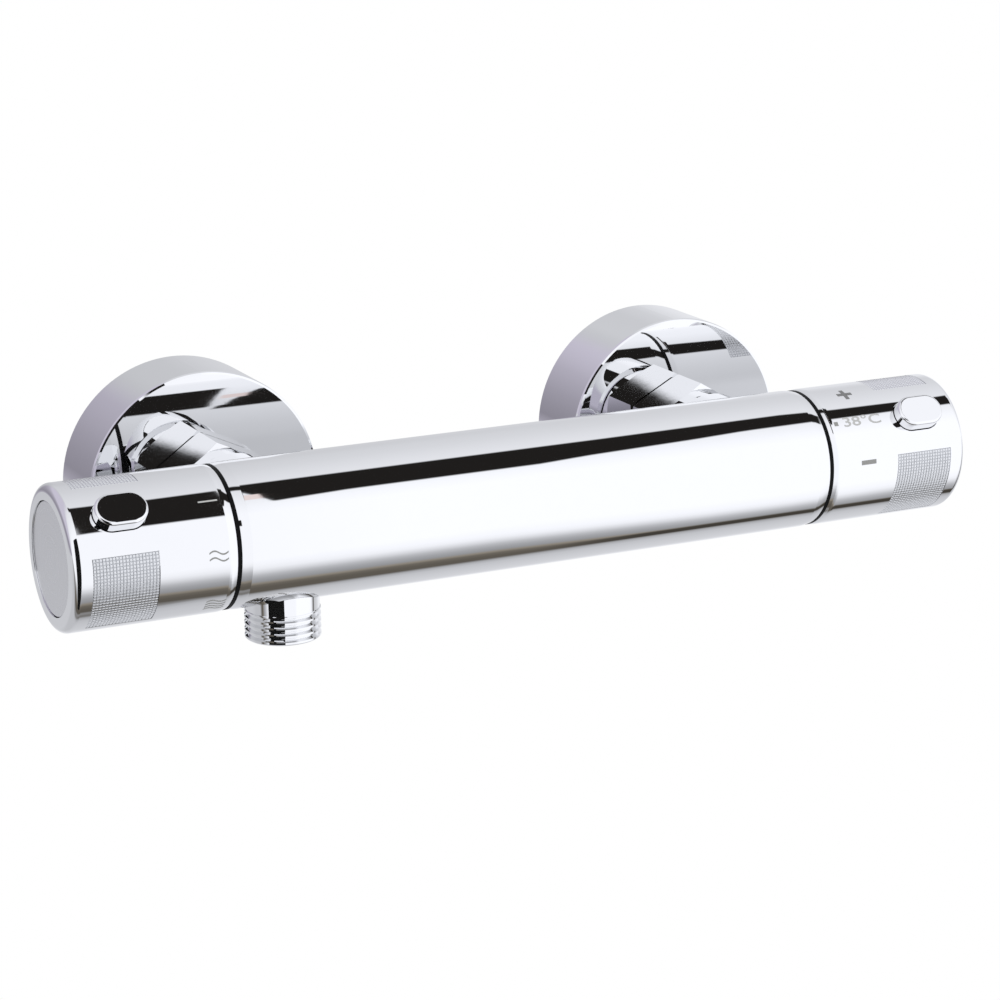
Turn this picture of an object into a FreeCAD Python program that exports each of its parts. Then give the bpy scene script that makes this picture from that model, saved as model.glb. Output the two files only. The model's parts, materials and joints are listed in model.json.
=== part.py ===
"""Bar-type thermostatic shower valve, built as separate pieces in millimetres.

X runs along the bar, from the flow handle (-X) to the temperature handle (+X).
-Y is the front, +Z is up. The wall's surface is the plane y = 0, and the origin
lies midway between the two wall threads. Lengths along the bar are measured
outwards from the middle plane x = 0, and depths from the wall towards the front.
"""
import FreeCAD
import Part
import os
from math import asin, cos, degrees, pi, radians, sin, sqrt, tan

V = FreeCAD.Vector
ARCS_PER_TURN = 4            # points per turn on a spring's line

# ---------------------------------------------------------------- driving sizes
# Layout
inlet_spacing = 150.0        # between the two inlets
bar_depth = 70.0             # wall to the bar's axis
union_eccentricity = 6.0     # the bar's axis above the wall threads
outlet_x = -71.0             # hose outlet, from the middle plane

# Bar body
bar_d = 39.5
body_length = 178.6
body_edge = 0.12
body_roll = 3.0              # length over which the bar's ends are polished down
handle_roll = 2.2            # the same at a handle's inner end
roll_drop = 0.3
slip_ring_t = 1.0
handle_gap = 0.15            # running gap between slip ring and handle
fit = 0.05                   # radial running or assembly gap inside

# Handles
handle_length = 44.55
handle_wall = 3.15
handle_end_round = 2.2
handle_web_t = 3.5
handle_web_from_end = 23.5   # handle's end face to the web's outer face
cap_d = 30.5
cap_t = 3.0
cap_inset = 0.3
cap_gap = 0.15
cap_shelf = 1.3
cap_shelf_t = 1.5
knurl_length = 18.0
knurl_angle = 69.0           # angle that one knurled patch covers
knurl_depth = 0.35
knurl_side_offset = 66.5     # button's centre to the next patch's centre
knurl_from_end = 5.2         # handle's end face to the patch

# Push buttons
button_length = 14.3
button_width = 9.3
button_proud = 3.3           # above the handle's surface
button_round = 0.75
button_gap = 0.2
flow_button_angle = 44.0     # above the front horizontal, at rest
temperature_button_angle = 39.8
button_from_end = 14.6       # handle's end face to the button's centre
button_travel = 2.0
button_skirt_t = 1.6
button_skirt_extra = 1.2
button_post_r = 1.6
button_arm_w = 5.0
button_arm_t = 1.8
button_post_length = 2.9
button_neck_gap = 0.9        # web to the button's neck
arm_tip_gap = 1.2            # stop ring's floor to the arm's tip
spring_wire = 0.45
spring_turns = 4

# Stop rings on the body
stop_ring_r = 16.2
stop_rim_t = 1.3
stop_floor_t = 2.0
stop_rim_length = 8.6
stop_lug_angle = 12.0
stop_lug_spare = 1.0         # angle between arm and lug at a limit
soft_lug_gap = 0.25          # the low lug clears the button's arm by this much
flow_turn = 92.0             # shut to full flow
eco_turn = 43.5              # shut to the low-flow mark
hot_turn = 70.0              # 38 degree mark to hottest
cold_turn = 130.0            # 38 degree mark to coldest

# Screws, spindles and inserts in the handles
spindle_r = 4.5
spindle_gap = 0.08
spline_r = 3.9
spline_count = 16
spline_depth = 0.35
spline_notch_w = 0.6
spindle_end_from_web = 5.2   # spindle's end to the web's outer face
insert_hub_af = 13.0
insert_flange_r = 9.5
insert_flange_t = 1.7
insert_length = 13.0
insert_seat_depth = 1.0      # screw's seat below the web's outer face
ledge_top = 6.2              # bar's axis to the ledge under the button spring
ledge_t = 2.0
ledge_w = 8.0
ledge_over = 4.0             # past the button's centre
screw_r = 1.95
screw_head_r = 3.5
screw_head_t = 2.6
screw_length = 13.0
screw_socket_af = 2.5
screw_socket_depth = 1.5
circlip_t = 0.8
circlip_r = 6.0
circlip_bite = 0.6           # how far the clip reaches below the splines
circlip_opening = 3.0
circlip_angle = 200.0
neck_from_web = 11.0         # web's inner face to the headwork's neck

# Round seals
seal_gap = 0.03              # radial gap on each side of a drawn seal
seal_room = 0.6              # a groove's width, less its depth
head_seal_u = 86.1           # seal between a headwork and the body
head_seal_depth = 1.6
spindle_seal_depth = 1.4

# Flow cartridge
flow_bore_r = 12.2
flow_nose_r = 9.7
flow_seat_u = 53.5           # seat face, from the middle plane
flow_gallery_u = 60.0
flow_chamber_end_u = 76.0
flow_flange_r = 14.6
flow_spindle_seal_u = 83.0
flow_window_angle = 80.0
flow_window_edge = 1.5
disc_r = 8.6
disc_t = 2.5
disc_gap = 0.05
disc_port_r_in = 2.4
disc_port_r_out = 6.9
disc_port_angle = 78.0
driver_t = 2.0
driver_tab_r = 5.3
driver_tab_angle = 36.0
driver_tab_reach = 1.0
driver_tab_gap = 0.2
driver_tab_spare = 2.0       # angle between a tab and its notch
seat_seal_t = 1.3
nose_wall = 1.0
head_flange_t = 3.0
head_neck_r = 9.0

# Thermostat
mix_bore_r = 15.5
mix_step_u = 46.0
nose_bore_r = 11.0
nose_step_u = 33.0
passage_r = 6.5
nose_passage_r = 4.6         # mouth under the return spring
nose_ledge_t = 4.6
nose_cavity_r = 9.2
nose_seal_u = 43.0
nose_seal_depth = 1.4
housing_r = 12.8
housing_bore_r = 10.6
housing_end_u = 80.4
land_u = 59.0                # wall between the hot and the cold windows
land_t = 4.0
shoulder_u = 75.5
shoulder_t = 3.4
window_angle = 60.0
window_count = 4
window_edge = 0.2
tab_slot_u = 69.0
tab_slot_w = 3.2
tab_slot_r = 11.7
shuttle_r = 10.5
shuttle_wall = 1.7
shuttle_length = 10.0
shuttle_hot_gap = 1.6        # hot seat to the shuttle, at the 38 degree mark
shuttle_cold_gap = 0.95
shuttle_hub_r = 6.4
shuttle_hub_from_edge = 3.0
shuttle_hub_t = 3.0
shuttle_spokes = 3
spoke_w = 1.8
spoke_t = 2.0
hot_seat_u = 53.5
cold_seat_t = 1.5
cold_seat_wall = 2.0
wax_r = 4.2
wax_length = 19.1
wax_collar_r = 6.2
wax_collar_t = 1.55
wax_pin_r = 1.2
return_wire = 0.9
return_r = 5.6
return_turns = 5
carrier_r = 7.5
carrier_wall = 1.9
carrier_length = 11.4
carrier_end_t = 1.0
carrier_lip_r = 2.4
carrier_tab_t = 2.4
pusher_r = 5.4
pusher_t = 1.9
pusher_stem_r = 1.5
pusher_stem_length = 3.4
pusher_cup_depth = 1.25
overheat_wire = 1.0
overheat_r = 3.4
overheat_turns = 3.5
face_gap = 0.1               # between faces that bear on each other inside the thermostat
spindle_cup_r = 9.7
spindle_cup_wall = 2.1
spindle_cup_u = 75.0
spindle_cup_end_u = 88.3
spindle_cup_floor_t = 2.3
head_cup_u = 79.0
head_flange_r = 16.1
mix_spindle_seal_u = 91.0
screen_t = 0.4
screen_bars = 16
screen_bar_angle = 6.0
screen_edge = 1.2
screen_gap = 0.7             # housing to the screen

# Hot water gallery in the body's back
gallery_r_in = 13.6
gallery_r_out = 17.4
gallery_angle = 70.0
gallery_end_u = 49.0
gallery_overrun = 6.0        # past the hot inlet
gallery_cover = 0.5          # the inlet's bore runs this far into the gallery

# Inlets
collar_r = 15.6
collar_reach = 24.5          # bar's axis to the collar's face
collar_root = 8.0            # bar's axis to the collar's inner end, inside the bar
tail_r = 10.9
tail_thread_r = 9.8
tail_thread_length = 6.7
tail_bore_r = 7.6
tail_throat_r = 6.4
tail_seal_from_end = 2.2     # tail's end to its seal's middle
tail_groove_depth = 1.3
tail_flange_r = 12.9
tail_flange_t = 2.9
washer_t = 2.0
washer_r = 12.8
washer_bore_r = 7.0
screen_wires = 7
screen_pitch = 2.0
screen_wire = 0.5
union_thread_r = 13.22
nut_af = 30.0
nut_hex_length = 15.1
nut_front_length = 5.2
nut_front_r = 14.6
nut_to_collar = 0.8
nut_cover = 7.6              # the nut reaches this far back over the union
nut_back_bevel = 1.0
nut_front_bevel = 1.2
nut_thread_gap = 0.06
nut_lip_gap = 0.2
inlet_bore_r = 8.0

# Wall unions and escutcheons
wall_thread_r = 10.35
thread_pitch = 1.814
thread_depth = 0.95
thread_bevel = 0.35
wall_thread_length = 15.0
union_bore_r = 7.0
union_body_r = 14.3
union_root_r = 12.0
union_nose_bore_r = 9.0
union_nose_bore_depth = 5.0
union_land_t = 2.0
union_body_start = 1.0
union_body_end = 12.5
escutcheon_r = 34.0
escutcheon_to_nut = 0.4
escutcheon_wall = 1.2
escutcheon_edge = 0.8
escutcheon_stand = 0.3       # rear edge to the wall, its foam's thickness
escutcheon_hole_r = 14.6
escutcheon_seal_t = 2.2
escutcheon_seal_r = 16.4
escutcheon_lip_t = 0.9

# Check valves
check_r = 7.5
check_bore_r = 6.2
check_from_washer = 0.33
check_length = 11.6
check_seat_r = 4.2
check_seat_t = 1.6
poppet_r = 5.4
poppet_t = 1.6
poppet_stem_r = 1.3
poppet_stem_out = 0.6
poppet_travel = 2.5
spider_t = 2.0
spider_hub_r = 2.6
spider_bar_w = 1.6
spider_bar_start = 1.8
check_spring_wire = 0.4
check_spring_r = 2.1
check_spring_turns = 4.5

# Hose outlet
outlet_thread_r = 10.35
outlet_collar_r = 10.1
outlet_drop = 30.0           # bar's axis to the nipple's mouth
outlet_thread_length = 8.0
thread_lead = 0.4            # plain start of a thread
outlet_bore_r = 6.5
outlet_insert_r = 9.2        # part screwed up into the body
outlet_seat = 13.6           # bar's axis to the top of the nipple
outlet_seal_down = 2.3       # top of the nipple to its seal's middle
outlet_groove_depth = 1.2
outlet_collar_cover = 0.4    # the collar reaches this far up round the bar

# ---------------------------------------------------------------- derived sizes
bar_r = bar_d / 2.0
body_half = body_length / 2.0
inlet_x = inlet_spacing / 2.0
bar_y = -bar_depth
bar_z = union_eccentricity
handle_start = body_half + slip_ring_t + handle_gap
handle_end = handle_start + handle_length
handle_bore_r = bar_r - handle_wall
web_out = handle_end - handle_web_from_end
web_in = web_out - handle_web_t
cap_r = cap_d / 2.0
cap_out = handle_end - cap_inset
cap_in = cap_out - cap_t
shelf_in = cap_in - cap_shelf_t
knurl_out = handle_end - knurl_from_end
knurl_in = knurl_out - knurl_length
button_u = handle_end - button_from_end
button_top = bar_r + button_proud
skirt_w = button_width + 2.0 * button_skirt_extra
skirt_top = sqrt(handle_bore_r ** 2 - (skirt_w / 2.0) ** 2) - 0.15
skirt_bottom = skirt_top - button_skirt_t
arm_out = skirt_bottom - 0.2
arm_in = arm_out - button_arm_t
arm_half_angle = degrees(asin(button_arm_w / 2.0 / (arm_in - button_travel)))
head_flange_out = body_half + slip_ring_t + head_flange_t
neck_end = web_in - neck_from_web
stop_floor_in = head_flange_out + 0.1
stop_rim_r = stop_ring_r - stop_rim_t
arm_tip_u = stop_floor_in + stop_floor_t + arm_tip_gap
spindle_end = web_out - spindle_end_from_web
screw_seat_u = web_out - insert_seat_depth
insert_in = web_out - insert_length
fixed_disc_u = flow_seat_u + seat_seal_t + 0.1
moving_disc_u = fixed_disc_u + disc_t + disc_gap
driver_u = moving_disc_u + disc_t + disc_gap
shuttle_u = hot_seat_u + shuttle_hot_gap
shuttle_end_u = shuttle_u + shuttle_length
cold_seat_u = shuttle_end_u + shuttle_cold_gap
shuttle_hub_u = shuttle_u + shuttle_hub_from_edge
wax_collar_u = shuttle_hub_u + shuttle_hub_t + fit
wax_end_u = wax_collar_u + wax_collar_t + 0.9
carrier_u = wax_end_u + 8.0
pusher_u = carrier_u + carrier_end_t + face_gap
wax_pin_end_u = pusher_u + pusher_cup_depth - fit
nose_u = nose_step_u + 0.4
nose_ledge_u = nose_u + nose_ledge_t
collar_depth = bar_depth - collar_reach
tail_end_depth = collar_depth + tail_thread_length
tail_seal_depth = tail_end_depth - tail_seal_from_end
nut_front_depth = collar_depth - nut_to_collar
nut_hex_end = nut_front_depth - nut_front_length
nut_back_depth = nut_hex_end - nut_hex_length
escutcheon_depth = nut_back_depth - escutcheon_to_nut
union_end_depth = nut_back_depth + nut_cover
washer_depth = union_end_depth + 0.02
tail_flange_depth = washer_depth + washer_t + 0.03
nut_thread_end = tail_flange_depth + tail_flange_t + 0.1
check_depth = washer_depth + washer_t + check_from_washer


# ---------------------------------------------------------------- helpers
def along(side):
    """Direction that leads outwards along the bar: -X at the flow end, +X at the other."""
    return V(side, 0, 0)


def button_angle(side):
    """Where a handle's button stands at rest, above the front horizontal."""
    return flow_button_angle if side < 0 else temperature_button_angle


def bar_point(side, u):
    """Point on the bar's axis, u outwards from the middle plane."""
    return V(side * u, bar_y, bar_z)


def rod(side, u0, u1, r):
    """Solid cylinder on the bar's axis from u0 to u1."""
    return Part.makeCylinder(r, u1 - u0, bar_point(side, u0), along(side))


def ring(side, u0, u1, r_out, r_in):
    """Round ring on the bar's axis."""
    return rod(side, u0, u1, r_out).cut(rod(side, u0 - 1.0, u1 + 1.0, r_in))


def depth_point(x, d, z=None):
    """Point at depth d in front of the wall."""
    return V(x, -d, bar_z if z is None else z)


def depth_rod(x, d0, d1, r, z=None):
    """Solid cylinder square to the wall, from depth d0 to d1."""
    return Part.makeCylinder(r, d1 - d0, depth_point(x, d0, z), V(0, -1, 0))


def depth_ring(x, d0, d1, r_out, r_in, z=None):
    """Round ring square to the wall."""
    return depth_rod(x, d0, d1, r_out, z).cut(depth_rod(x, d0 - 1.0, d1 + 1.0, r_in, z))


def seal_between(centre, axis, r_in, r_out):
    """Round seal that fills the radial space from r_in to r_out, less the seal gap."""
    wire = (r_out - r_in) / 2.0 - seal_gap
    return Part.makeTorus((r_in + r_out) / 2.0, wire, centre, axis)


def seal_groove(centre, axis, r, depth):
    """Shape to cut from a shaft of radius r, for a round seal with its middle at centre."""
    width = depth + seal_room
    start = centre - axis * (width / 2.0)
    return Part.makeCylinder(r + 1.0, width, start, axis).cut(Part.makeCylinder(r - depth, width, start, axis))


def fuse(first, *others):
    """One solid from several that touch or overlap."""
    return first.fuse(list(others)).removeSplitter()


def rolled_end(side, u, r, length, outwards):
    """Shape to cut from a bar that ends at u, so that its last length is polished down by roll_drop."""
    inner = u - outwards * length
    bow = (length ** 2 + roll_drop ** 2) / (2.0 * roll_drop)
    half = length / 2.0
    dip = bow - sqrt(bow ** 2 - half ** 2)
    face = [Part.Arc(bar_point(side, inner) + V(0, 0, r), bar_point(side, u - outwards * half) + V(0, 0, r - dip),
                     bar_point(side, u) + V(0, 0, r - roll_drop)).toShape()]
    corners = [bar_point(side, u) + V(0, 0, r - roll_drop), bar_point(side, u) + V(0, 0, r + 1.0),
               bar_point(side, inner) + V(0, 0, r + 1.0), bar_point(side, inner) + V(0, 0, r)]
    face += [Part.makeLine(a, b) for a, b in zip(corners, corners[1:])]
    return Part.Face(Part.Wire(face)).revolve(bar_point(side, 0), V(1, 0, 0), 360)


def block(x0, x1, y0, y1, z0, z1):
    """Box between two corners."""
    return Part.makeBox(x1 - x0, y1 - y0, z1 - z0, V(x0, y0, z0))


def side_block(side, u0, u1, y0, y1, z0, z1):
    """Box along the bar, with y and z measured from the bar's axis."""
    x0, x1 = sorted((side * u0, side * u1))
    return block(x0, x1, bar_y + y0, bar_y + y1, bar_z + z0, bar_z + z1)


def turned(shape, side, angle):
    """Turn a shape about the bar: it then stands angle above the front horizontal.

    The shape is drawn standing upwards (+Z) from the bar's axis.
    """
    copy = shape.copy()
    copy.rotate(bar_point(side, 0), V(1, 0, 0), 90.0 - angle)
    return copy


def sector(side, u0, u1, r_out, r_in, angle, centre_angle):
    """Part of a ring that covers angle, centred centre_angle above the front horizontal."""
    a = radians(centre_angle + angle / 2.0)
    outwards = V(0, -cos(a), sin(a))
    corners = [bar_point(side, u) + outwards * r
               for u, r in ((u0, r_in), (u0, r_out), (u1, r_out), (u1, r_in), (u0, r_in))]
    return Part.Face(Part.makePolygon(corners)).revolve(bar_point(side, 0), V(1, 0, 0), angle)


def stadium(length, width, z0, z1, u):
    """Upright prism with half-round ends along X, centred u along the bar."""
    r = width / 2.0
    half = length / 2.0 - r
    a, b = V(u - half, bar_y - r, z0), V(u + half, bar_y - r, z0)
    c, d = V(u + half, bar_y + r, z0), V(u - half, bar_y + r, z0)
    right = Part.Arc(b, V(u + half + r, bar_y, z0), c).toShape()
    left = Part.Arc(d, V(u - half - r, bar_y, z0), a).toShape()
    outline = Part.Wire([Part.makeLine(a, b), right, Part.makeLine(c, d), left])
    return Part.Face(outline).extrude(V(0, 0, z1 - z0))


def hexagon(centre, axis, across_flats, length, turn=0.0):
    """Six-sided prism from centre along axis."""
    r = across_flats / sqrt(3.0)
    up = V(0, 0, 1)
    other = axis.cross(up)
    corners = []
    for k in range(7):
        a = radians(60.0 * k + turn)
        corners.append(centre + up * (r * cos(a)) + other * (r * sin(a)))
    return Part.Face(Part.makePolygon(corners)).extrude(axis * length)


def coil(centre, axis, r_mid, wire, length, turns):
    """Round-wire compression spring from centre along axis, drawn as one pipe on arcs."""
    pitch = length / turns
    steps = round(turns * ARCS_PER_TURN)
    line = []
    for k in range(steps):
        line += arc_pair(*helix_point(r_mid, pitch, k), *helix_point(r_mid, pitch, k + 1))
    start, tangent = helix_point(r_mid, pitch, 0)
    section = Part.Wire([Part.makeCircle(wire / 2.0, start, tangent)])
    spring = Part.Wire(line).makePipeShell([section], True, False)
    spring.Placement = FreeCAD.Placement(centre, FreeCAD.Rotation(V(0, 0, 1), axis))
    return spring


def helix_point(r, pitch, k):
    """Point k of a helix about Z and the direction in which the wire runs there."""
    angle = 2.0 * pi * k / ARCS_PER_TURN
    point = V(r * cos(angle), r * sin(angle), pitch * k / ARCS_PER_TURN)
    tangent = V(-2.0 * pi * r * sin(angle), 2.0 * pi * r * cos(angle), pitch).normalize()
    return point, tangent


def arc_pair(p0, t0, p1, t1):
    """Two arcs that meet smoothly and lead from p0, direction t0, to p1, direction t1."""
    chord, turn = p1 - p0, 2.0 * (1.0 - t0.dot(t1))
    slope = chord.dot(t0 + t1)
    reach = (sqrt(slope ** 2 + turn * chord.dot(chord)) - slope) / turn
    joint = (p0 + t0 * reach + p1 - t1 * reach) * 0.5
    return [arc_from(p0, t0, joint), arc_from(p1, t1 * -1.0, joint)]


def arc_from(start, tangent, end):
    """Arc that leaves start along tangent and stops at end."""
    chord = end - start
    half = chord.getAngle(tangent)
    side = (tangent - chord * (tangent.dot(chord) / chord.dot(chord))).normalize()
    middle = start + chord * 0.5 + side * (chord.Length / 2.0 * tan(half / 2.0))
    return Part.Arc(start, middle, end).toShape()


def revolve_profile(points, centre, axis):
    """Solid of revolution; points are (distance along axis, radius)."""
    radial = V(0, 0, 1) if abs(axis.z) < 0.5 else V(1, 0, 0)
    corners = [centre + axis * a + radial * r for a, r in points]
    face = Part.Face(Part.makePolygon(corners + [corners[0]]))
    return face.revolve(centre, axis, 360)


def threaded(centre, axis, r, bore, length, pitch, depth, lead):
    """Threaded tube drawn with ring grooves; the first lead of its length is plain."""
    points = [(0.0, bore), (0.0, r)]
    a = lead
    while a + pitch <= length:
        points += [(a, r), (a + 0.27 * pitch, r - depth), (a + 0.43 * pitch, r - depth), (a + 0.7 * pitch, r)]
        a += pitch
    points += [(length - thread_bevel, r), (length, r - thread_bevel), (length, bore)]
    return revolve_profile(points, centre, axis)


def export(name, shape):
    """Write one named piece, which is one solid or a group of separate solids."""
    shape.exportStep(os.path.join("parts", name + ".step"))


# ---------------------------------------------------------------- body
def valve_body():
    """Round casting with the cartridge bores, the hot gallery and the inlet collars."""
    bar = rod(1, -body_half, body_half, bar_r)
    bar = bar.cut([rolled_end(side, body_half, bar_r, body_roll, 1.0) for side in (-1, 1)])
    rims = [e for e in bar.Edges if len(e.Vertexes) == 1 and abs(abs(e.CenterOfMass.x) - body_half) < 0.1]
    bar = bar.makeChamfer(body_edge, rims)
    between_ends = block(-body_half, body_half, bar_y, 0.0, bar_z - bar_r, bar_z + bar_r)
    for x in (-inlet_x, inlet_x):
        collar = depth_rod(x, collar_depth, bar_depth - collar_root, collar_r)
        bar = bar.fuse(collar.common(between_ends))
    cuts = [
        rod(-1, flow_gallery_u, body_half + 1.0, flow_bore_r),
        rod(-1, flow_seat_u, flow_gallery_u + 0.5, flow_nose_r),
        rod(1, mix_step_u, body_half + 1.0, mix_bore_r),
        rod(1, nose_step_u, mix_step_u + 0.5, nose_bore_r),
        rod(1, -flow_seat_u - 0.5, nose_step_u + 0.5, passage_r),
        hot_gallery(),
    ]
    for x in (-inlet_x, inlet_x):
        cuts.append(depth_rod(x, collar_depth - 1.0, tail_end_depth + 0.2, tail_thread_r + fit))
        cuts.append(depth_rod(x, tail_end_depth, bar_depth - gallery_r_in - gallery_cover, inlet_bore_r))
    axis = V(outlet_x, bar_y, bar_z)
    down = V(0, 0, -1)
    cuts.append(Part.makeCylinder(outlet_insert_r + fit, bar_r, axis + down * (outlet_seat - 0.2), down))
    cuts.append(Part.makeCylinder(outlet_bore_r, outlet_seat, axis, down))
    return bar.cut(cuts).removeSplitter()


def hot_gallery():
    """Kidney-shaped waterway in the back of the body, from the hot inlet to the thermostat."""
    return sector(1, -inlet_x - gallery_overrun, gallery_end_u, gallery_r_out, gallery_r_in,
                  gallery_angle, 180.0)


def outlet_nipple():
    """Hose outlet: a plain collar and a half-inch thread, screwed up into the body."""
    axis = V(outlet_x, bar_y, bar_z)
    down = V(0, 0, -1)
    top = sqrt(bar_r ** 2 - outlet_collar_r ** 2) - outlet_collar_cover
    thread_top = outlet_drop - outlet_thread_length
    collar = Part.makeCylinder(outlet_collar_r, thread_top - top, axis + down * top, down)
    collar = collar.cut([Part.makeCylinder(outlet_bore_r, outlet_drop, axis, down),
                         rod(-1, -outlet_x - bar_r, -outlet_x + bar_r, bar_r + 0.02)])
    thread = threaded(axis + down * thread_top, down, outlet_thread_r, outlet_bore_r, outlet_thread_length,
                      thread_pitch, thread_depth, thread_lead)
    stem_length = outlet_drop - outlet_seat - outlet_thread_length / 2.0
    stem = Part.makeCylinder(outlet_insert_r, stem_length, axis + down * outlet_seat, down)
    stem = stem.cut([
        Part.makeCylinder(outlet_bore_r, outlet_drop, axis, down),
        seal_groove(axis + down * (outlet_seat + outlet_seal_down), down, outlet_insert_r, outlet_groove_depth),
    ])
    return fuse(collar, thread, stem)


def outlet_seal():
    """Round seal in the nipple's groove."""
    centre = V(outlet_x, bar_y, bar_z - outlet_seat - outlet_seal_down)
    return seal_between(centre, V(0, 0, 1), outlet_insert_r - outlet_groove_depth, outlet_insert_r + fit)


def slip_ring(side, bore):
    """Black ring between the body and a handle."""
    return ring(side, body_half, body_half + slip_ring_t, bar_r - 0.2, bore)


# ---------------------------------------------------------------- handles
def handle_shell(side):
    """Chromed shell with its web, cap seat, button hole and shallow seats for the knurling."""
    shell = rod(side, handle_start, handle_end, bar_r)
    outer = [e for e in shell.Edges
             if len(e.Vertexes) == 1 and abs(side * e.CenterOfMass.x - handle_end) < 0.1]
    shell = shell.makeFillet(handle_end_round, outer)
    shell = shell.cut(rolled_end(side, handle_start, bar_r, handle_roll, -1.0))
    hub = hexagon(bar_point(side, web_in - 1.0), along(side), insert_hub_af + 2 * fit, handle_web_t + 2.0)
    arm_slot = side_block(side, web_in - 1.0, web_out + 1.0, -button_arm_w / 2 - 0.4,
                          button_arm_w / 2 + 0.4, arm_in - button_travel - 0.4,
                          arm_out + 0.4)
    cuts = [
        rod(side, handle_start - 1.0, web_in, handle_bore_r),
        rod(side, web_out, shelf_in, handle_bore_r),
        rod(side, shelf_in - 0.5, cap_in + 0.5, cap_r + cap_gap - cap_shelf),
        rod(side, cap_in, handle_end + 1.0, cap_r + cap_gap),
        hub,
        turned(arm_slot, side, button_angle(side)),
        button_hole(side),
    ]
    shell = shell.cut(cuts)
    for centre in knurl_centres(side):
        shell = shell.cut(sector(side, knurl_in, knurl_out, bar_r + 1.0, bar_r - knurl_depth,
                                 knurl_angle, centre))
    return shell


def button_hole(side):
    """The oval hole through the shell's wall, clear of the parts behind it."""
    hole = stadium(button_length + 2 * button_gap, button_width + 2 * button_gap,
                   bar_z + handle_bore_r - 3.0, bar_z + bar_r + 5.0, side * button_u)
    return turned(hole, side, button_angle(side))


def knurl_centres(side):
    """Angles of the three knurled patches on a handle."""
    angle = button_angle(side)
    return (angle - knurl_side_offset, angle + knurl_side_offset, angle + 180.0)


def end_cap(side):
    """Inset disc that closes the handle and hides its screw."""
    plate = rod(side, cap_in, cap_out, cap_r)
    edge = [e for e in plate.Edges if len(e.Vertexes) == 1 and abs(side * e.CenterOfMass.x - cap_out) < 0.1]
    plate = plate.makeFillet(0.3, edge)
    return plate.cut(rod(side, cap_in - 1.0, cap_out - 1.2, cap_r - 3.0))


def button(side):
    """Oval push button with its skirt, spring post and the arm that reaches the stop ring."""
    top = stadium(button_length, button_width, bar_z + skirt_bottom, bar_z + button_top, side * button_u)
    rim = [e for e in top.Edges if e.CenterOfMass.z > bar_z + button_top - 0.01]
    top = top.makeFillet(button_round, rim)
    skirt = stadium(button_length + 2 * button_skirt_extra, skirt_w, bar_z + skirt_bottom,
                    bar_z + skirt_top, side * button_u)
    arm = side_block(side, arm_tip_u, button_u, -button_arm_w / 2, button_arm_w / 2, arm_in, arm_out)
    neck = side_block(side, web_out + button_neck_gap, button_u, -button_arm_w / 2, button_arm_w / 2,
                      arm_out - 0.1, skirt_bottom + 0.1)
    post = Part.makeCylinder(button_post_r, button_post_length + button_arm_t,
                             V(side * button_u, bar_y, bar_z + arm_in - button_post_length), V(0, 0, 1))
    return turned(fuse(top, skirt, arm, neck, post), side, button_angle(side))


def button_spring(side):
    """Return spring between the insert's ledge and the button's arm."""
    top = arm_in - fit - spring_wire / 2
    low = ledge_top + fit + spring_wire / 2
    centre = V(side * button_u, bar_y, bar_z + low)
    spring = coil(centre, V(0, 0, 1), button_post_r + 0.55, spring_wire, top - low, spring_turns)
    return turned(spring, side, button_angle(side))


def spline_insert(side):
    """Plastic insert that keys the spindle's splines to the handle's web."""
    hub = hexagon(bar_point(side, insert_in), along(side), insert_hub_af, insert_length)
    flange = rod(side, web_out, web_out + insert_flange_t, insert_flange_r)
    ledge = side_block(side, web_out, button_u + ledge_over, -ledge_w / 2, ledge_w / 2,
                       ledge_top - ledge_t, ledge_top)
    body = fuse(hub, flange, turned(ledge, side, button_angle(side)))
    cuts = [
        rod(side, insert_in - 1.0, spindle_end + 0.1, spline_r + fit),
        rod(side, spindle_end, web_out + 1.0, screw_r + 0.15),
        rod(side, screw_seat_u, web_out + insert_flange_t + 1.0, screw_head_r + 0.3),
    ]
    return body.cut(cuts).removeSplitter()


def handle_screw(side):
    """Screw that holds the insert and the handle on the spindle."""
    head = rod(side, screw_seat_u, screw_seat_u + screw_head_t, screw_head_r)
    shank = rod(side, screw_seat_u - screw_length, screw_seat_u + 0.1, screw_r)
    socket = hexagon(bar_point(side, screw_seat_u + screw_head_t - screw_socket_depth), along(side),
                     screw_socket_af, screw_socket_depth + 1.0)
    return fuse(head, shank).cut(socket)


def stop_ring(side, low_turn, high_turn, soft_turn):
    """Ring fixed on the headwork whose lugs limit the handle's turn.

    The turns are counted upwards at the front, from the handle's place at rest.
    """
    beside_arm = arm_half_angle + stop_lug_angle / 2.0 + stop_lug_spare
    rest = button_angle(side)
    hard_angles = (rest + low_turn - beside_arm, rest + high_turn + beside_arm)
    beyond = arm_half_angle + stop_lug_angle / 4.0 + stop_lug_spare
    soft_angle = rest + soft_turn + (beyond if side < 0 else -beyond)
    rim_end = stop_floor_in + stop_floor_t + stop_rim_length
    arm_corner_r = sqrt(arm_out ** 2 + (button_arm_w / 2) ** 2)
    body = fuse(ring(side, stop_floor_in, stop_floor_in + stop_floor_t, stop_ring_r, head_neck_r + fit),
                ring(side, stop_floor_in, rim_end, stop_ring_r, stop_rim_r))
    hard = [sector(side, stop_floor_in + 0.5, rim_end, stop_rim_r + 0.5, arm_in - button_travel,
                   stop_lug_angle, angle) for angle in hard_angles]
    soft = sector(side, stop_floor_in + 0.5, rim_end, stop_rim_r + 0.5, arm_corner_r + soft_lug_gap,
                  stop_lug_angle / 2, soft_angle)
    return fuse(body, soft, *hard)


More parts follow.
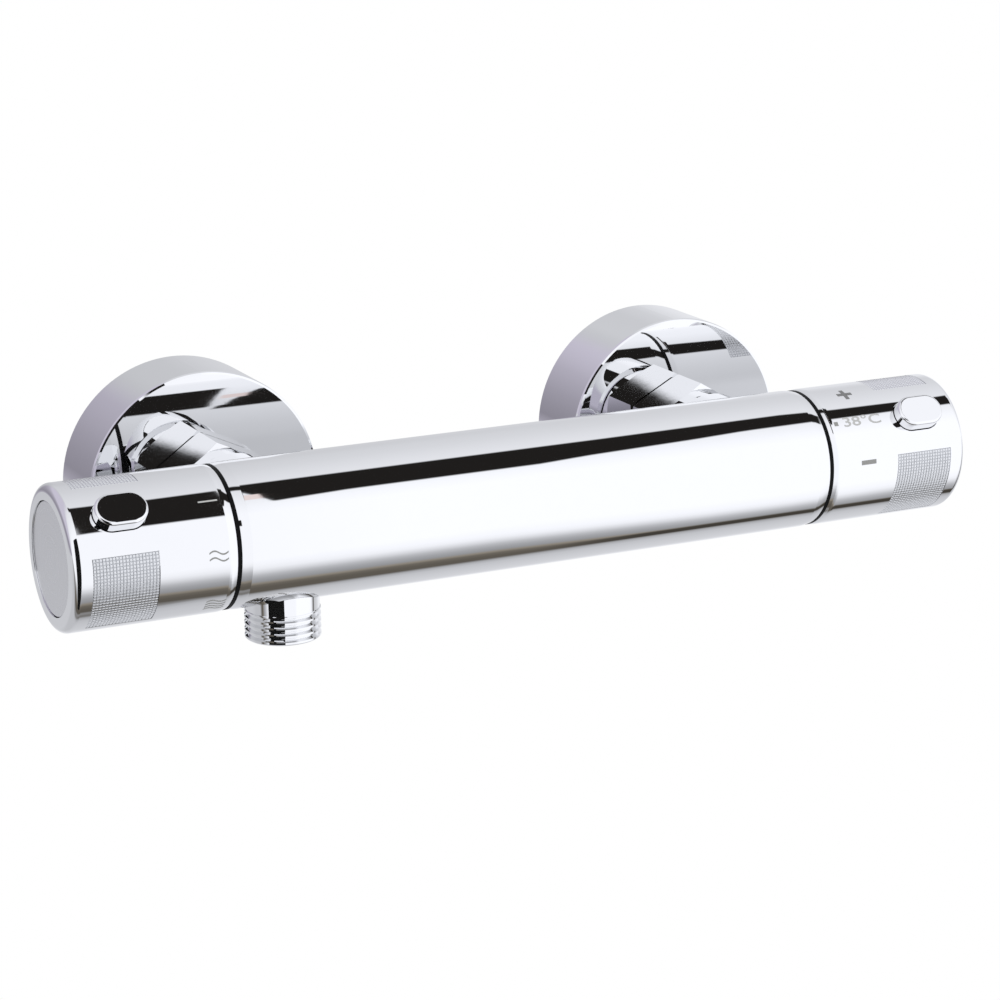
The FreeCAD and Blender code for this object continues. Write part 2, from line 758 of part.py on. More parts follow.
def splined_end(side, u0):
    """Outer end of a spindle, with its splines and screw hole."""
    end = rod(side, u0, spindle_end, spline_r)
    for k in range(spline_count):
        notch = side_block(side, insert_in - 0.5, spindle_end + 1.0, -spline_notch_w / 2, spline_notch_w / 2,
                           spline_r - spline_depth, spline_r + 1.0)
        end = end.cut(turned(notch, side, 360.0 * k / spline_count))
    return end.cut(rod(side, screw_seat_u - screw_length - 1.0, spindle_end + 1.0, screw_r + fit))


def circlip(side):
    """Clip that keeps a spindle in its headwork."""
    start = neck_end + 0.1
    clip = ring(side, start, start + circlip_t, circlip_r, spline_r - circlip_bite)
    gap = side_block(side, start - 1.0, start + circlip_t + 1.0, -circlip_opening / 2, circlip_opening / 2,
                     0.0, circlip_r + 1.0)
    return clip.cut(turned(gap, side, circlip_angle))


# ---------------------------------------------------------------- flow cartridge
def flow_headwork():
    """Threaded headwork of the flow cartridge, with the outlet windows of its nose."""
    s = -1
    flange_in = body_half + slip_ring_t
    body = fuse(rod(s, fixed_disc_u, flow_chamber_end_u + 1.0, flow_nose_r - fit),
                rod(s, flow_chamber_end_u, flange_in, flow_bore_r - fit),
                rod(s, flange_in, head_flange_out, flow_flange_r),
                rod(s, head_flange_out - 0.5, neck_end, head_neck_r))
    windows = [sector(s, driver_u + driver_t + flow_window_edge, flow_chamber_end_u - flow_window_edge,
                      flow_nose_r + 1.0, disc_r - 1.0, flow_window_angle, angle) for angle in (0.0, 180.0)]
    cuts = [
        rod(s, fixed_disc_u - 1.0, flow_chamber_end_u, flow_nose_r - nose_wall),
        rod(s, flow_chamber_end_u - 0.5, neck_end + 1.0, spindle_r + spindle_gap),
        seal_groove(bar_point(s, head_seal_u), V(1, 0, 0), flow_bore_r, head_seal_depth),
    ]
    return body.cut(cuts + windows).removeSplitter()


def flow_flange_seal():
    """Round seal between the headwork and the body."""
    return seal_between(bar_point(-1, head_seal_u), V(1, 0, 0), flow_bore_r - head_seal_depth, flow_bore_r)


def disc_with_ports(u0, r, thickness, first):
    """Ceramic disc with two opposite ports."""
    disc = rod(-1, u0, u0 + thickness, r)
    for angle in (first, first + 180.0):
        disc = disc.cut(sector(-1, u0 - 1.0, u0 + thickness + 1.0, disc_port_r_out,
                               disc_port_r_in, disc_port_angle, angle))
    return disc


def fixed_disc():
    """Lower ceramic disc, which stays still."""
    return disc_with_ports(fixed_disc_u, disc_r, disc_t, 0.0)


def moving_disc():
    """Upper ceramic disc, closed at rest and notched for the spindle's driver."""
    disc = disc_with_ports(moving_disc_u, disc_r - 0.2, disc_t, 90.0)
    notch_u = moving_disc_u + disc_t - driver_tab_reach - driver_tab_gap
    for angle in (0.0, 180.0):
        disc = disc.cut(sector(-1, notch_u, driver_u + 1.0, disc_r + 1.0, driver_tab_r - driver_tab_gap,
                               driver_tab_angle + 2.0 * driver_tab_spare, angle))
    return disc


def flow_spindle():
    """Spindle that turns the moving disc."""
    s = -1
    plate = rod(s, driver_u, driver_u + driver_t, disc_r - 0.4)
    for angle in (90.0, 270.0):
        plate = plate.cut(sector(s, driver_u - 1.0, driver_u + driver_t + 1.0, disc_port_r_out,
                                 disc_port_r_in, disc_port_angle, angle))
    tabs = [sector(s, driver_u - disc_gap - driver_tab_reach, driver_u + 0.5, disc_r - 0.5, driver_tab_r,
                   driver_tab_angle, angle) for angle in (0.0, 180.0)]
    shaft = rod(s, driver_u + 0.5, neck_end, spindle_r)
    body = fuse(plate, shaft, splined_end(s, neck_end - 0.5), *tabs)
    return body.cut([circlip_groove(s), spindle_seal_groove(s, flow_spindle_seal_u)])


def spindle_seal_groove(side, u):
    """Groove for a spindle's seal."""
    return seal_groove(bar_point(side, u), V(1, 0, 0), spindle_r, spindle_seal_depth)


def circlip_groove(side):
    """Groove for a spindle's circlip."""
    start = neck_end + 0.05
    return ring(side, start, start + circlip_t + 0.1, spindle_r + 1.0, spline_r - circlip_bite - 0.05)


def spindle_seal(side, u):
    """Round seal on a spindle, inside the headwork's bore."""
    return seal_between(bar_point(side, u), V(1, 0, 0), spindle_r - spindle_seal_depth, spindle_r + spindle_gap)


def seat_seal():
    """Rubber seal under the fixed disc."""
    return ring(-1, flow_seat_u + fit, flow_seat_u + fit + seat_seal_t, disc_r, passage_r + 0.4)


# ---------------------------------------------------------------- thermostat
def thermostat_head():
    """Threaded bonnet that holds the thermostat in the body."""
    s = 1
    flange_in = body_half + slip_ring_t
    body = fuse(rod(s, head_cup_u, flange_in, mix_bore_r - fit),
                rod(s, flange_in, head_flange_out, head_flange_r),
                rod(s, head_flange_out - 0.5, neck_end, head_neck_r))
    return body.cut([
        rod(s, head_cup_u - 1.0, housing_end_u + 0.1, housing_r + fit),
        rod(s, head_cup_u - 1.0, spindle_cup_end_u + 0.3, spindle_cup_r + 0.1),
        rod(s, spindle_cup_end_u, neck_end + 1.0, spindle_r + spindle_gap),
        seal_groove(bar_point(s, head_seal_u), V(1, 0, 0), mix_bore_r, head_seal_depth),
    ]).removeSplitter()


def thermostat_housing():
    """Sleeve with the hot and cold windows, the sealing lands and the nose."""
    s = 1
    land_r = mix_bore_r - fit
    body = fuse(rod(s, mix_step_u + 0.2, housing_end_u, housing_r),
                rod(s, nose_u, mix_step_u + 0.5, nose_bore_r - fit),
                rod(s, land_u, land_u + land_t, land_r),
                rod(s, shoulder_u, shoulder_u + shoulder_t, land_r))
    cuts = [
        rod(s, hot_seat_u, housing_end_u + 1.0, housing_bore_r),
        rod(s, nose_ledge_u, hot_seat_u + 0.5, nose_cavity_r),
        rod(s, nose_u - 1.0, nose_ledge_u + 0.5, nose_passage_r),
        seal_groove(bar_point(s, land_u + land_t / 2.0), V(1, 0, 0), mix_bore_r, head_seal_depth),
        seal_groove(bar_point(s, nose_seal_u), V(1, 0, 0), nose_bore_r, nose_seal_depth),
    ]
    windows = ((hot_seat_u + window_edge, land_u - 1.0), (land_u + land_t + 1.0, cold_seat_u - window_edge))
    for u0, u1 in windows:
        for k in range(window_count):
            cuts.append(sector(s, u0, u1, mix_bore_r, nose_cavity_r, window_angle,
                               360.0 * (k + 0.5) / window_count))
    for angle in (0.0, 180.0):
        slot = side_block(s, tab_slot_u, housing_end_u + 1.0, -tab_slot_w / 2, tab_slot_w / 2, 0.0, tab_slot_r)
        cuts.append(turned(slot, s, angle))
    return body.cut(cuts).removeSplitter()


def cold_seat():
    """Ring in the housing that the shuttle closes against when the water must be hottest."""
    seat_r = housing_bore_r - fit
    return ring(1, cold_seat_u, cold_seat_u + cold_seat_t, seat_r, seat_r - cold_seat_wall)


def shuttle():
    """Sliding ring that opens hot as it closes cold, with spokes to the wax element's seat."""
    bore_r = shuttle_r - shuttle_wall
    body = ring(1, shuttle_u, shuttle_end_u, shuttle_r, bore_r)
    hub = ring(1, shuttle_hub_u, shuttle_hub_u + shuttle_hub_t, shuttle_hub_r, wax_r + face_gap)
    middle = shuttle_hub_u + shuttle_hub_t / 2.0
    spoke = side_block(1, middle - spoke_t / 2, middle + spoke_t / 2, -spoke_w / 2, spoke_w / 2,
                       shuttle_hub_r - 0.5, bore_r + 0.5)
    spokes = [turned(spoke, 1, 360.0 * k / shuttle_spokes) for k in range(shuttle_spokes)]
    return fuse(body, hub, *spokes)


def wax_element():
    """Sealed wax capsule with its collar and thrust pin."""
    capsule = rod(1, wax_end_u - wax_length, wax_end_u, wax_r)
    collar = rod(1, wax_collar_u, wax_collar_u + wax_collar_t, wax_collar_r)
    pin = rod(1, wax_end_u - 0.5, wax_pin_end_u, wax_pin_r)
    return fuse(capsule, collar, pin)


def return_spring():
    """Spring that pushes the wax element back as the water cools."""
    start = nose_ledge_u + face_gap + return_wire / 2.0
    end = shuttle_hub_u - face_gap - return_wire / 2.0
    return coil(bar_point(1, start), V(1, 0, 0), return_r, return_wire, end - start, return_turns)


def carrier():
    """Threaded sleeve that the spindle drives in and out; its tabs keep it from turning."""
    end_u = carrier_u + carrier_length
    body = ring(1, carrier_u, end_u, carrier_r, carrier_r - carrier_wall)
    end = ring(1, end_u - carrier_end_t, end_u, carrier_r, pusher_stem_r + face_gap)
    lip = ring(1, carrier_u, carrier_u + carrier_end_t, carrier_r, carrier_lip_r)
    tab = side_block(1, carrier_u, carrier_u + carrier_tab_t, -tab_slot_w / 2 + face_gap,
                     tab_slot_w / 2 - face_gap, carrier_r - 0.7, tab_slot_r - 0.2)
    return fuse(body, end, lip, turned(tab, 1, 0.0), turned(tab, 1, 180.0))


def pusher():
    """Cup that takes the wax element's pin and rests on the overheat spring."""
    plate = rod(1, pusher_u, pusher_u + pusher_t, pusher_r)
    stem = rod(1, pusher_u + pusher_t - 0.5, pusher_u + pusher_t + pusher_stem_length, pusher_stem_r)
    return fuse(plate, stem).cut(rod(1, pusher_u - 1.0, pusher_u + pusher_cup_depth, wax_pin_r + face_gap))


def overheat_spring():
    """Stiff spring that gives way when the wax grows past the shuttle's stop."""
    start = pusher_u + pusher_t + face_gap + overheat_wire / 2.0
    end = carrier_u + carrier_length - carrier_end_t - face_gap - overheat_wire / 2.0
    return coil(bar_point(1, start), V(1, 0, 0), overheat_r, overheat_wire, end - start, overheat_turns)


def thermostat_spindle():
    """Spindle whose internal thread moves the carrier as the handle turns."""
    s = 1
    cup = rod(s, spindle_cup_u, spindle_cup_end_u, spindle_cup_r)
    shaft = rod(s, spindle_cup_end_u - 0.5, neck_end, spindle_r)
    body = fuse(cup, shaft, splined_end(s, neck_end - 0.5))
    return body.cut([
        rod(s, spindle_cup_u - 1.0, spindle_cup_end_u - spindle_cup_floor_t, spindle_cup_r - spindle_cup_wall),
        circlip_groove(s),
        spindle_seal_groove(s, mix_spindle_seal_u),
    ])


def land_seals():
    """Two like seals: one on the housing's land and one on the head."""
    return Part.makeCompound([
        seal_between(bar_point(1, u), V(1, 0, 0), mix_bore_r - head_seal_depth, mix_bore_r)
        for u in (land_u + land_t / 2.0, head_seal_u)
    ])


def nose_seal():
    """Round seal on the housing's nose."""
    return seal_between(bar_point(1, nose_seal_u), V(1, 0, 0), nose_bore_r - nose_seal_depth, nose_bore_r)


def strainer():
    """Two slotted screens round the hot and the cold windows."""
    inner = housing_r + screen_gap
    slot_angle = 360.0 / screen_bars - screen_bar_angle
    screens = []
    for u0, u1 in ((mix_step_u + 0.5, land_u - 0.2), (land_u + land_t + 0.2, shoulder_u - 0.2)):
        screen = ring(1, u0, u1, inner + screen_t, inner)
        slots = [sector(1, u0 + screen_edge, u1 - screen_edge, mix_bore_r, housing_r, slot_angle,
                        360.0 * k / screen_bars) for k in range(screen_bars)]
        screens.append(screen.cut(slots))
    return Part.makeCompound(screens)


# ---------------------------------------------------------------- inlets
def inlet_tail(x):
    """Flanged tube screwed into the body's collar; the union nut pulls on its flange."""
    flange = depth_rod(x, tail_flange_depth, tail_flange_depth + tail_flange_t, tail_flange_r)
    tube = depth_rod(x, tail_flange_depth, collar_depth - fit, tail_r)
    thread = depth_rod(x, collar_depth - 1.0, tail_end_depth, tail_thread_r)
    shoulder = check_depth + check_length + fit
    return fuse(flange, tube, thread).cut([
        depth_rod(x, tail_flange_depth - 1.0, shoulder, tail_bore_r),
        depth_rod(x, shoulder - 0.5, tail_end_depth + 1.0, tail_throat_r),
        seal_groove(depth_point(x, tail_seal_depth), V(0, 1, 0), tail_thread_r, tail_groove_depth),
    ])


def tail_seals():
    """Two like seals, one in each inlet tail's groove."""
    return Part.makeCompound([
        seal_between(depth_point(x, tail_seal_depth), V(0, 1, 0), tail_thread_r - tail_groove_depth,
                     tail_thread_r + fit)
        for x in (-inlet_x, inlet_x)
    ])


def union_nut(x, turn):
    """Six-sided nut with a round front, threaded inside at the wall end."""
    back = depth_point(x, nut_back_depth)
    out = V(0, -1, 0)
    length = nut_hex_end - nut_back_depth
    full = nut_front_depth - nut_back_depth
    corner = nut_af / sqrt(3.0)
    bevel = revolve_profile([
        (0.0, 0.0), (0.0, corner - nut_back_bevel), (nut_back_bevel, corner + 0.6),
        (length - nut_front_bevel, corner + 0.6), (length, corner - nut_front_bevel - 0.4), (length, 0.0),
    ], back, out)
    front = revolve_profile([
        (length - 0.5, 0.0), (length - 0.5, nut_front_r), (full - nut_back_bevel, nut_front_r),
        (full, nut_front_r - nut_back_bevel), (full, 0.0),
    ], back, out)
    nut = fuse(hexagon(back, out, nut_af, length, turn).common(bevel), front)
    return nut.cut([
        depth_rod(x, nut_back_depth - 1.0, nut_thread_end, union_thread_r + nut_thread_gap),
        depth_rod(x, nut_thread_end - 0.5, nut_front_depth + 1.0, tail_r + nut_lip_gap),
    ])


def wall_union(x):
    """Eccentric union: wall thread on the lower axis, nut thread on the bar's axis."""
    into_wall = V(0, 1, 0)
    out = V(0, -1, 0)
    root = V(x, -union_body_start, 0.0)
    tail_length = wall_thread_length + union_body_start
    tail = threaded(root, into_wall, wall_thread_r, union_bore_r, tail_length, thread_pitch, thread_depth,
                    union_body_start + 1.0)
    rear = Part.Wire([Part.makeCircle(union_root_r, root, out)])
    fore = Part.Wire([Part.makeCircle(union_body_r, depth_point(x, union_body_end - union_land_t), out)])
    offset = Part.makeLoft([rear, fore], True, True)
    land = depth_rod(x, union_body_end - union_land_t, union_body_end, union_body_r)
    nose = depth_rod(x, union_body_end - 0.5, union_end_depth, union_thread_r)
    return fuse(offset, land, nose, tail).cut([
        Part.makeCylinder(union_bore_r, wall_thread_length + union_nose_bore_depth + 4.0,
                          V(x, wall_thread_length + 1.0, 0.0), out),
        depth_rod(x, union_nose_bore_depth, union_end_depth + 1.0, union_nose_bore_r),
    ])


def filter_washer(x):
    """Rubber washer that seals the union; its fine screen keeps grit out."""
    washer = depth_ring(x, washer_depth, washer_depth + washer_t, washer_r, washer_bore_r)
    near = -washer_depth - washer_t / 2.0 - screen_wire / 2.0
    far = near + screen_wire
    edge = screen_wire / 2.0
    bars = []
    for k in range(screen_wires):
        offset = (k - (screen_wires - 1) / 2.0) * screen_pitch
        half = sqrt((washer_bore_r + 0.5) ** 2 - offset ** 2)
        bars.append(block(x + offset - edge, x + offset + edge, near, far, bar_z - half, bar_z + half))
        bars.append(block(x - half, x + half, near, far, bar_z + offset - edge, bar_z + offset + edge))
    return fuse(washer, *bars)


def escutcheon(x):
    """Round wall plate that covers the hole and the union."""
    d = escutcheon_depth - escutcheon_stand
    w = escutcheon_wall
    e = escutcheon_edge
    r = escutcheon_r
    return revolve_profile([
        (0.0, r - w), (0.0, r), (d - e, r), (d - 0.3 * e, r - 0.3 * e), (d, r - e),
        (d, escutcheon_hole_r), (d - w, escutcheon_hole_r), (d - w, r - w - 0.8 * e),
        (d - w - 0.8 * e, r - w),
    ], depth_point(x, escutcheon_stand), V(0, -1, 0))


def escutcheon_seals():
    """Two like rubber rings that grip the unions behind the plates."""
    plate_back = escutcheon_depth - escutcheon_wall
    back = plate_back - escutcheon_seal_t
    bore = union_thread_r + seal_gap
    seals = []
    for x in (-inlet_x, inlet_x):
        grip = depth_ring(x, back, plate_back - 0.02, escutcheon_seal_r, bore)
        lip = depth_ring(x, back + 0.5, plate_back + escutcheon_lip_t, escutcheon_hole_r - fit, bore)
        seals.append(fuse(grip, lip))
    return Part.makeCompound(seals)


def check_housing(x):
    """Plastic check valve cartridge with its seat and spider."""
    end = check_depth + check_length
    tube = depth_ring(x, check_depth, end, check_r, check_bore_r)
    seat = depth_ring(x, check_depth, check_depth + check_seat_t, check_r - 0.5, check_seat_r)
    hub = depth_rod(x, end - spider_t, end, spider_hub_r)
    bars = []
    for angle in (0.0, 120.0, 240.0):
        bar = block(x - spider_bar_w / 2, x + spider_bar_w / 2, -end, -end + spider_t,
                    bar_z + spider_bar_start, bar_z + check_bore_r + 0.3)
        bar.rotate(depth_point(x, end), V(0, 1, 0), angle)
        bars.append(bar)
    return fuse(tube, seat, hub, *bars).cut(depth_rod(x, end - spider_t - 1.0, end + 1.0, poppet_stem_r + 0.1))


def check_poppet(x):
    """Poppet that opens towards the body."""
    seat = check_depth + check_seat_t + fit
    head = depth_rod(x, seat, seat + poppet_t, poppet_r)
    stem = depth_rod(x, seat + 0.5, check_depth + check_length + poppet_stem_out, poppet_stem_r)
    return fuse(head, stem)


def check_spring(x):
    """Light spring that closes the poppet."""
    start = check_depth + check_seat_t + poppet_t + face_gap + check_spring_wire / 2.0 + fit
    end = check_depth + check_length - spider_t - face_gap - check_spring_wire / 2.0
    return coil(depth_point(x, start), V(0, -1, 0), check_spring_r, check_spring_wire, end - start,
                check_spring_turns)


# ---------------------------------------------------------------- assembly
def build():
    """Make every piece and write it under its name."""
    os.makedirs("parts", exist_ok=True)
    export("valve_body", valve_body())
    export("outlet_nipple", outlet_nipple())
    export("outlet_seal", outlet_seal())

    for name, side, bore in (("flow", -1, flow_bore_r), ("temperature", 1, mix_bore_r)):
        export(name + "_slip_ring", slip_ring(side, bore + 0.1))
        export(name + "_handle", handle_shell(side))
        export(name + "_end_cap", end_cap(side))
        export(name + "_button", button(side))
        export(name + "_button_spring", button_spring(side))
        export(name + "_spline_insert", spline_insert(side))
        export(name + "_handle_screw", handle_screw(side))
        export(name + "_circlip", circlip(side))
    export("flow_stop_ring", stop_ring(-1, 0.0, flow_turn, eco_turn))
    export("temperature_stop_ring", stop_ring(1, -hot_turn, cold_turn, 0.0))

    export("flow_headwork", flow_headwork())
    export("flow_flange_seal", flow_flange_seal())
    export("flow_spindle", flow_spindle())
    export("flow_spindle_seal", spindle_seal(-1, flow_spindle_seal_u))
    export("flow_moving_disc", moving_disc())
    export("flow_fixed_disc", fixed_disc())
    export("flow_seat_seal", seat_seal())

    export("thermostat_head", thermostat_head())
    export("thermostat_housing", thermostat_housing())
    export("thermostat_cold_seat", cold_seat())
    export("thermostat_shuttle", shuttle())
    export("wax_element", wax_element())
    export("return_spring", return_spring())
    export("thermostat_carrier", carrier())
    export("thermostat_pusher", pusher())
    export("overheat_spring", overheat_spring())
    export("thermostat_spindle", thermostat_spindle())
    export("thermostat_spindle_seal", spindle_seal(1, mix_spindle_seal_u))
    export("thermostat_land_seals", land_seals())
    export("thermostat_nose_seal", nose_seal())
    export("thermostat_strainer", strainer())

    for name, x, turn in (("hot", -inlet_x, 5.0), ("cold", inlet_x, -2.0)):
        export(name + "_inlet_tail", inlet_tail(x))
        export(name + "_union_nut", union_nut(x, turn))
        export(name + "_wall_union", wall_union(x))
        export(name + "_filter_washer", filter_washer(x))
        export(name + "_escutcheon", escutcheon(x))
        export(name + "_check_housing", check_housing(x))
        export(name + "_check_poppet", check_poppet(x))
        export(name + "_check_spring", check_spring(x))
    export("inlet_tail_seals", tail_seals())
    export("escutcheon_seals", escutcheon_seals())


build()
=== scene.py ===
"""Looks of the bar-type thermostatic shower valve, in metres in the CAD frame.

X runs along the bar, -Y is the front, +Z is up and the wall is the plane y = 0.
Angles, on the bar and in the studio, are in degrees upwards from the front horizontal.
"""
import json
import math

import bmesh
import bpy
from mathutils import Matrix, Vector


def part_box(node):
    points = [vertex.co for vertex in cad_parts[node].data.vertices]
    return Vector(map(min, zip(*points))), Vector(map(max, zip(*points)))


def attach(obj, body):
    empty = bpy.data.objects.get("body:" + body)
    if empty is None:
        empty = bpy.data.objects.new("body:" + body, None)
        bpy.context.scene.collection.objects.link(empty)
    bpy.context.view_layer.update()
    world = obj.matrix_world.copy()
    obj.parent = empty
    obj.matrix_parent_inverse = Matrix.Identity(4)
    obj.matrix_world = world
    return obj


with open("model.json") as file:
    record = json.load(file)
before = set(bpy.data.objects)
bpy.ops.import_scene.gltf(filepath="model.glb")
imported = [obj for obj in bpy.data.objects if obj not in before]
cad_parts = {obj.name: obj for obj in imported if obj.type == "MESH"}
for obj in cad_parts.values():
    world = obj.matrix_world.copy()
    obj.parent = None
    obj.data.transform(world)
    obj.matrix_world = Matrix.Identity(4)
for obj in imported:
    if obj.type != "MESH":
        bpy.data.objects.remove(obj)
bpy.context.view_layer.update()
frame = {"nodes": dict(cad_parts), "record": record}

MM = 0.001
MICRON = 0.000001

# The bar, from the CAD box of its left handle
flow_low, flow_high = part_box("flow_handle")
BAR_R = (flow_high[2] - flow_low[2]) / 2.0
AXIS_Z = (flow_high[2] + flow_low[2]) / 2.0
AXIS_Y = (flow_high[1] + flow_low[1]) / 2.0

# The handles: the body that each rides on, its side of the bar and the angle of its button
HANDLES = {
    "flow": {"body": "flow_handle_turning", "side": -1, "button": 44.0},
    "temperature": {"body": "temperature_handle_turning", "side": 1, "button": 39.8},
}

# Camera at the photograph's viewpoint
LENS, SENSOR = 109.68, 36.0
CAMERA_PLACE = Vector((-356.72, -804.28, 225.1)) * MM
CAMERA_FORWARD = Vector((0.4165, 0.8710, -0.2606))
CAMERA_RIGHT = Vector((0.9008, -0.4341, -0.0111))

# Knurled patches, in the shallow seats that the CAD handles have for them
KNURL_OUTER, KNURL_INNER = 5.3 * MM, 23.1 * MM  # from the handle's outer end
KNURL_CENTRES = (-66.5, 66.5, 180.0)            # from the handle's button
KNURL_HALF_ANGLE = 34.3
KNURL_COLUMNS, KNURL_ROWS = 20, 26
KNURL_TOP_R = BAR_R - 0.02 * MM
KNURL_DEPTH = 0.20 * MM
KNURL_TOP_SHARE = 0.66                          # a pyramid's flat top over its pitch
SEAT_R = BAR_R - 0.35 * MM
SEAT_OVERLAP = 0.03 * MM                        # how far a patch reaches into its seat's floor

# Marks on the handles
MARK_HEIGHT, MARK_SUNK = 0.03 * MM, 0.05 * MM
CROSSING_HEIGHT = 0.032 * MM                    # a bar that crosses another one

# Stage
FLOOR_HALF, FLOOR_LEVEL = 25.0, -1.6
USUAL_SOFTNESS = 1.6                            # degrees on each side of a panel's edge
LEAN, LEAN_FROM = 0.00014, 72.0                 # shift of the black strip's ends with each degree from here
CUT_PLACE, CUT_SLOPE, CUT_FROM = 0.3385, 0.0003, 88.0   # the same for the end that is cut aslant
ROOM_LIGHT = (0.92, 0.93, 0.94)                 # what lights the matt surfaces
MIRROR_GAIN = 0.17                              # how much stronger mirrored light is


# ---------------------------------------------------------------- camera
def place_camera():
    """Camera that looks as the photograph's does."""
    data = bpy.data.cameras.new("camera")
    data.lens = LENS
    data.sensor_width = SENSOR
    data.clip_start = 0.05
    data.clip_end = 100.0
    camera = bpy.data.objects.new("camera", data)
    forward = CAMERA_FORWARD.normalized()
    up = CAMERA_RIGHT.normalized().cross(forward).normalized()
    right = forward.cross(up)
    turn = Matrix((right, up, -forward)).transposed()
    camera.matrix_world = Matrix.Translation(CAMERA_PLACE) @ turn.to_4x4()
    bpy.context.scene.collection.objects.link(camera)
    bpy.context.scene.camera = camera


# ---------------------------------------------------------------- node trees
class Nodes:
    """Short calls for building a node tree. A value is a number or a socket; a mask runs from 0 to 1."""

    def __init__(self, tree):
        self.tree = tree

    def new(self, kind, **settings):
        """New node with some of its settings changed."""
        node = self.tree.nodes.new(kind)
        for key, value in settings.items():
            setattr(node, key, value)
        return node

    def link(self, a, b):
        """Link an output to an input."""
        self.tree.links.new(a, b)

    def split(self, vector):
        """The three parts of a vector."""
        node = self.new("ShaderNodeSeparateXYZ")
        self.link(vector, node.inputs[0])
        return list(node.outputs)

    def math(self, operation, a, b=None, c=None):
        """Result of an operation on one to three values."""
        node = self.new("ShaderNodeMath", operation=operation)
        for socket, value in zip(node.inputs, (a, b, c)):
            if value is None:
                continue
            if isinstance(value, (int, float)):
                socket.default_value = value
            else:
                self.link(value, socket)
        return node.outputs[0]

    def ramp(self, value, stops, low, high):
        """Colour ramp over low..high; stops are (place, grey or colour) in rising order."""
        node = self.new("ShaderNodeValToRGB")
        scaled = self.math("MULTIPLY_ADD", value, 1.0 / (high - low), -low / (high - low))
        self.link(scaled, node.inputs[0])
        elements = node.color_ramp.elements
        while len(elements) < len(stops):
            elements.new(0.5)
        for element, (place, shade) in zip(elements, stops):
            element.position = (place - low) / (high - low)
            colour = shade if isinstance(shade, tuple) else (shade, shade, shade)
            element.color = (*colour, 1.0)
        return node.outputs[0]

    def curve(self, value, points, low, high):
        """Curve through points (value from 0 to 1, height from low to high) in rising order."""
        stops = [(place, (height - low) / (high - low)) for place, height in points]
        return self.math("MULTIPLY_ADD", self.ramp(value, stops, 0.0, 1.0), high - low, low)

    def mix(self, factor, a, b):
        """Colour a where the factor is 0, colour b where it is 1."""
        node = self.new("ShaderNodeMix", data_type="RGBA")
        for index, value in ((0, factor), (6, a), (7, b)):
            if isinstance(value, (int, float)):
                node.inputs[index].default_value = value
            elif isinstance(value, tuple):
                node.inputs[index].default_value = (*value, 1.0)
            else:
                self.link(value, node.inputs[index])
        return node.outputs[2]

    def above(self, value, edge, softness):
        """Mask of what lies above an edge, which is soft by this much on each side."""
        node = self.new("ShaderNodeMapRange", interpolation_type="SMOOTHSTEP")
        self.link(value, node.inputs[0])
        if isinstance(edge, (int, float)):
            node.inputs[1].default_value = edge - softness
            node.inputs[2].default_value = edge + softness
        else:
            self.link(self.math("SUBTRACT", edge, softness), node.inputs[1])
            self.link(self.math("ADD", edge, softness), node.inputs[2])
        return node.outputs[0]

    def below(self, value, edge, softness):
        """Mask of what lies below a soft edge."""
        return self.math("SUBTRACT", 1.0, self.above(value, edge, softness))

    def between(self, value, low, high):
        """Mask of what lies between two edges, which are (edge, softness)."""
        return self.both(self.above(value, *low), self.below(value, *high))

    def both(self, a, b):
        """Mask of what lies in two masks."""
        return self.math("MULTIPLY", a, b)

    def either(self, a, b):
        """Mask of what lies in one of two masks."""
        return self.math("MAXIMUM", a, b)


# ---------------------------------------------------------------- materials
def new_material(name):
    """Material with its node calls and its shader."""
    material = bpy.data.materials.new(name)
    material.use_nodes = True
    return material, Nodes(material.node_tree), material.node_tree.nodes["Principled BSDF"]


def own_place(nodes):
    """Place on the object, in metres."""
    return nodes.new("ShaderNodeTexCoord").outputs["Object"]


def vary(nodes, shader, texture, dark, light, metallic, roughness, rough_change, bump, specular):
    """Let a texture change a shader's colour, roughness and relief."""
    shader.inputs["Metallic"].default_value = metallic
    shader.inputs["Specular IOR Level"].default_value = specular
    nodes.link(nodes.mix(texture, dark, light), shader.inputs["Base Color"])
    least, span = roughness * (1.0 - rough_change), 2.0 * roughness * rough_change
    nodes.link(nodes.math("MULTIPLY_ADD", texture, span, least), shader.inputs["Roughness"])
    if bump:
        relief = nodes.new("ShaderNodeBump")
        relief.inputs["Strength"].default_value = 1.0
        relief.inputs["Distance"].default_value = bump
        nodes.link(texture, relief.inputs["Height"])
        nodes.link(relief.outputs[0], shader.inputs["Normal"])


def surface(name, colour, metallic, roughness, grain, colour_change=0.06, rough_change=0.25, bump=0.0,
            specular=0.5):
    """Material with a fine even grain, so many to the metre."""
    material, nodes, shader = new_material(name)
    noise = nodes.new("ShaderNodeTexNoise")
    noise.inputs["Scale"].default_value = grain
    noise.inputs["Detail"].default_value = 5.0
    nodes.link(own_place(nodes), noise.inputs["Vector"])
    dark = tuple(c * (1.0 - colour_change) for c in colour)
    light = tuple(min(1.0, c * (1.0 + colour_change)) for c in colour)
    vary(nodes, shader, noise.outputs[0], dark, light, metallic, roughness, rough_change, bump, specular)
    return material


